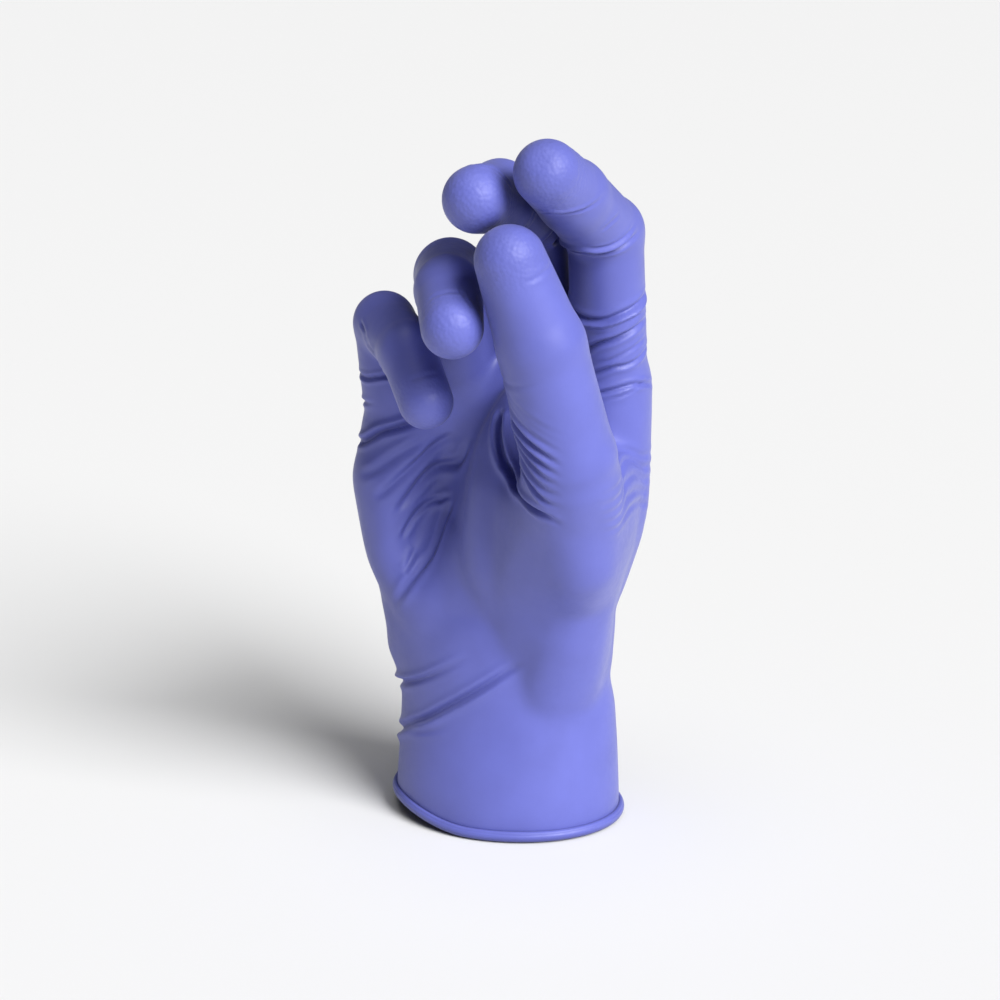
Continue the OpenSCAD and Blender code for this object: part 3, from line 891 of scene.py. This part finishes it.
def film_material(name, shade, rough):
    """Satin dipped film: slight mottling, painted shade in the hollows, a fine matte grain, and
    pebbled fingertips.
    """
    mat = bpy.data.materials.new(name)
    mat.use_nodes = True
    nt = mat.node_tree
    nt.nodes.clear()
    link = nt.links.new
    out = node(nt, "ShaderNodeOutputMaterial", 900)
    bsdf = node(nt, "ShaderNodeBsdfPrincipled", 600, inputs={
        "IOR": 1.5, "Specular IOR Level": 0.42, "Sheen Weight": 0.12, "Sheen Roughness": 0.5})
    link(bsdf.outputs[0], out.inputs[0])
    place_mm = node(nt, "ShaderNodeAttribute", -900, attribute_name="rest_mm")
    tips = node(nt, "ShaderNodeAttribute", -900, -400, attribute_name="grip")
    # colour: clouds a few centimetres wide, with shade painted darker and bluer in the hollows
    cloud = node(nt, "ShaderNodeTexNoise", -650, 200, {"Scale": 0.07, "Detail": 3})
    link(place_mm.outputs["Vector"], cloud.inputs["Vector"])
    tone = color_ramp(nt, -400, 200, (0.3, [*(0.94 * c for c in shade), 1]),
                      (0.72, [*(1.05 * c for c in shade), 1]))
    link(cloud.outputs["Fac"], tone.inputs["Fac"])
    # painted shade: ambient occlusion darkens the base colour where nearby film would shade it
    painted_shade_ao = node(nt, "ShaderNodeAmbientOcclusion", -400, 450, {"Distance": PAINTED_SHADE_REACH},
                samples=8)
    painted_shade_ramp = color_ramp(nt, -150, 450, (0.05, PAINTED_SHADE_TINT), (0.68, (1, 1, 1, 1)))
    link(painted_shade_ao.outputs["AO"], painted_shade_ramp.inputs["Fac"])
    tone_with_painted_shade = node(nt, "ShaderNodeMix", 200, 250, {0: 1.0}, data_type="RGBA",
               blend_type="MULTIPLY")
    link(tone.outputs["Color"], tone_with_painted_shade.inputs[MIX_A])
    link(painted_shade_ramp.outputs["Color"], tone_with_painted_shade.inputs[MIX_B])
    link(tone_with_painted_shade.outputs[MIX_OUT], bsdf.inputs["Base Color"])
    # gloss: uneven by a little, in spots of a few millimetres
    spots = node(nt, "ShaderNodeTexNoise", -650, -50, {"Scale": 0.5, "Detail": 4})
    link(place_mm.outputs["Vector"], spots.inputs["Vector"])
    gloss = node(nt, "ShaderNodeMapRange", -400, -50, {
        "From Min": 0.3, "From Max": 0.7, "To Min": rough - 0.05, "To Max": rough + 0.06})
    link(spots.outputs["Fac"], gloss.inputs["Value"])
    link(gloss.outputs["Result"], bsdf.inputs["Roughness"])
    # relief: a fine grain everywhere and pebbles where the film is a grip
    grain = node(nt, "ShaderNodeTexNoise", -650, -300, {"Scale": 3.2, "Detail": 3})
    link(place_mm.outputs["Vector"], grain.inputs["Vector"])
    fine = node(nt, "ShaderNodeBump", 100, -250, {"Strength": 0.12, "Distance": 0.0001})
    link(grain.outputs["Fac"], fine.inputs["Height"])
    pebble = node(nt, "ShaderNodeTexVoronoi", -650, -550, {"Scale": 0.85, "Randomness": 0.9})
    link(place_mm.outputs["Vector"], pebble.inputs["Vector"])
    amount = node(nt, "ShaderNodeMath", -400, -450, {1: 0.38}, operation="MULTIPLY")
    link(tips.outputs["Fac"], amount.inputs[0])
    rough_tip = node(nt, "ShaderNodeBump", 350, -300, {"Distance": 0.0003}, invert=True)
    link(amount.outputs[0], rough_tip.inputs["Strength"])
    link(pebble.outputs["Distance"], rough_tip.inputs["Height"])
    link(fine.outputs["Normal"], rough_tip.inputs["Normal"])
    link(rough_tip.outputs["Normal"], bsdf.inputs["Normal"])
    return mat


film_mat = film_material("film_satin", SHADE, 0.46)
grip_mat = film_material("film_grip", SHADE, 0.50)

# how pebbled each point is: the last centimetre of every digit
grip = np.zeros(len(verts))
for i, d in enumerate(DIGITS):
    m = (owner == i) & (bone == 2)
    grip[m] = ramp(place[m], bone_len(d, 2) - 9, bone_len(d, 2) - 2)

for name in names:
    make_piece(name)


# ------------------------------------------------------------------ rolled bead
def make_bead():
    """Rolled rim: a flattened roll whose last turn shows as a groove."""
    n, m = ((480, 40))  # steps round the cuff and round the roll
    t = np.arange(n) * 2 * math.pi / n
    u = np.arange(m) * 2 * math.pi / m
    g = np.stack([np.cos(t) / RIM_X, np.sin(t) / RIM_Y, 0 * t], axis=1)
    g /= np.linalg.norm(g, axis=1)[:, None]
    core = np.stack([RIM_X * np.cos(t), RIM_Y * np.sin(t), 0 * t + BEAD_H], axis=1)
    wave = 0.5 * np.sin(3 * t + 1) + 0.3 * np.sin(7 * t) + 0.2 * np.sin(13 * t + 2)
    seam = 0.62 + 0.12 * wave
    r = 1 - 0.13 * np.exp(-((u[None] - seam[:, None]) / 0.16) ** 2)
    r = r - 0.03 * (1 + wave[:, None]) * (np.sin(u)[None] > 0)
    p = core[:, None] + r[..., None] * (
        BEAD_R * np.cos(u)[None, :, None] * g[:, None]
        + BEAD_H * np.sin(u)[None, :, None] * np.array([0, 0, 1.0]))
    p = p.reshape(-1, 3)
    p[:, 2] += rim_rise(p)
    i, j = np.meshgrid(np.arange(n), np.arange(m), indexing="ij")
    k, l = (i + 1) % n, (j + 1) % m
    f = np.stack([i * m + j, k * m + j, k * m + l, i * m + l], axis=-1).reshape(-1, 4)
    mesh = bpy.data.meshes.new("cuff_bead_roll")
    mesh.from_pydata((p / 1000).tolist(), [], f.tolist())
    mesh.update()
    mesh.polygons.foreach_set("use_smooth", np.ones(len(mesh.polygons), bool))
    rest_attribute(mesh, p)
    scalar_attribute(mesh, "grip", np.zeros(n * m))
    o = in_scene("cuff_bead_roll", mesh)
    o.data.materials.append(film_mat)
    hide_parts("cuff_bead")
    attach(o, "cuff")


make_bead()

# ---------------------------------------------------- floor, light and camera
FLOOR_HALF, FLOOR_Z = 3, -0.0004
FLOOR_WHITE, FLOOR_ROUGH = (0.82, 0.82, 0.82, 1), 0.8
h, z = FLOOR_HALF, FLOOR_Z
floor_mesh = bpy.data.meshes.new("floor")
floor_mesh.from_pydata([(-h, -h, z), (h, -h, z), (h, h, z), (-h, h, z)], [], [(0, 1, 2, 3)])
floor = in_scene("floor", floor_mesh)
pale = bpy.data.materials.new("floor_pale")
pale.use_nodes = True
pale_bsdf = pale.node_tree.nodes["Principled BSDF"]
pale_bsdf.inputs["Base Color"].default_value = FLOOR_WHITE
pale_bsdf.inputs["Roughness"].default_value = FLOOR_ROUGH
floor_mesh.materials.append(pale)

AMBIENT = 0.06
world = bpy.data.worlds.new("studio")
bpy.context.scene.world = world
world.use_nodes = True
background = world.node_tree.nodes["Background"]
background.inputs["Color"].default_value = (1, 1, 1, 1)
background.inputs["Strength"].default_value = AMBIENT
bpy.context.scene.view_settings.view_transform = "Standard"

AIM = Vector((-0.0025, 0, 0.093))       # the middle of the picture
CAM_AZIMUTH, CAM_RISE, CAM_AWAY = 20, 16, 0.75


def direction(azimuth, elevation):
    """Unit vector towards an azimuth, 0 being the palm side, and an elevation, in degrees."""
    a, e = math.radians(azimuth), math.radians(elevation)
    return Vector((math.sin(a) * math.cos(e), -math.cos(a) * math.cos(e), math.sin(e)))


def soft_sun(name, azimuth, elevation, spread, power):
    """Even studio light from one side; spread in degrees is the size of the softbox."""
    light = bpy.data.lights.new(name, "SUN")
    light.angle = math.radians(spread)
    light.energy = power
    o = in_scene(name, light)
    o.rotation_euler = direction(azimuth, elevation).to_track_quat("Z", "Y").to_euler()


soft_sun("key", 60, 36, 34, 4.7)
soft_sun("top", 10, 78, 40, 0.7)

camera = bpy.data.cameras.new("camera")
camera.lens = 94.5
camera.sensor_width = 36
cam = in_scene("camera", camera)
cam.location = AIM + CAM_AWAY * direction(CAM_AZIMUTH, CAM_RISE)
cam.rotation_euler = (AIM - cam.location).to_track_quat("-Z", "Y").to_euler()
bpy.context.scene.camera = cam
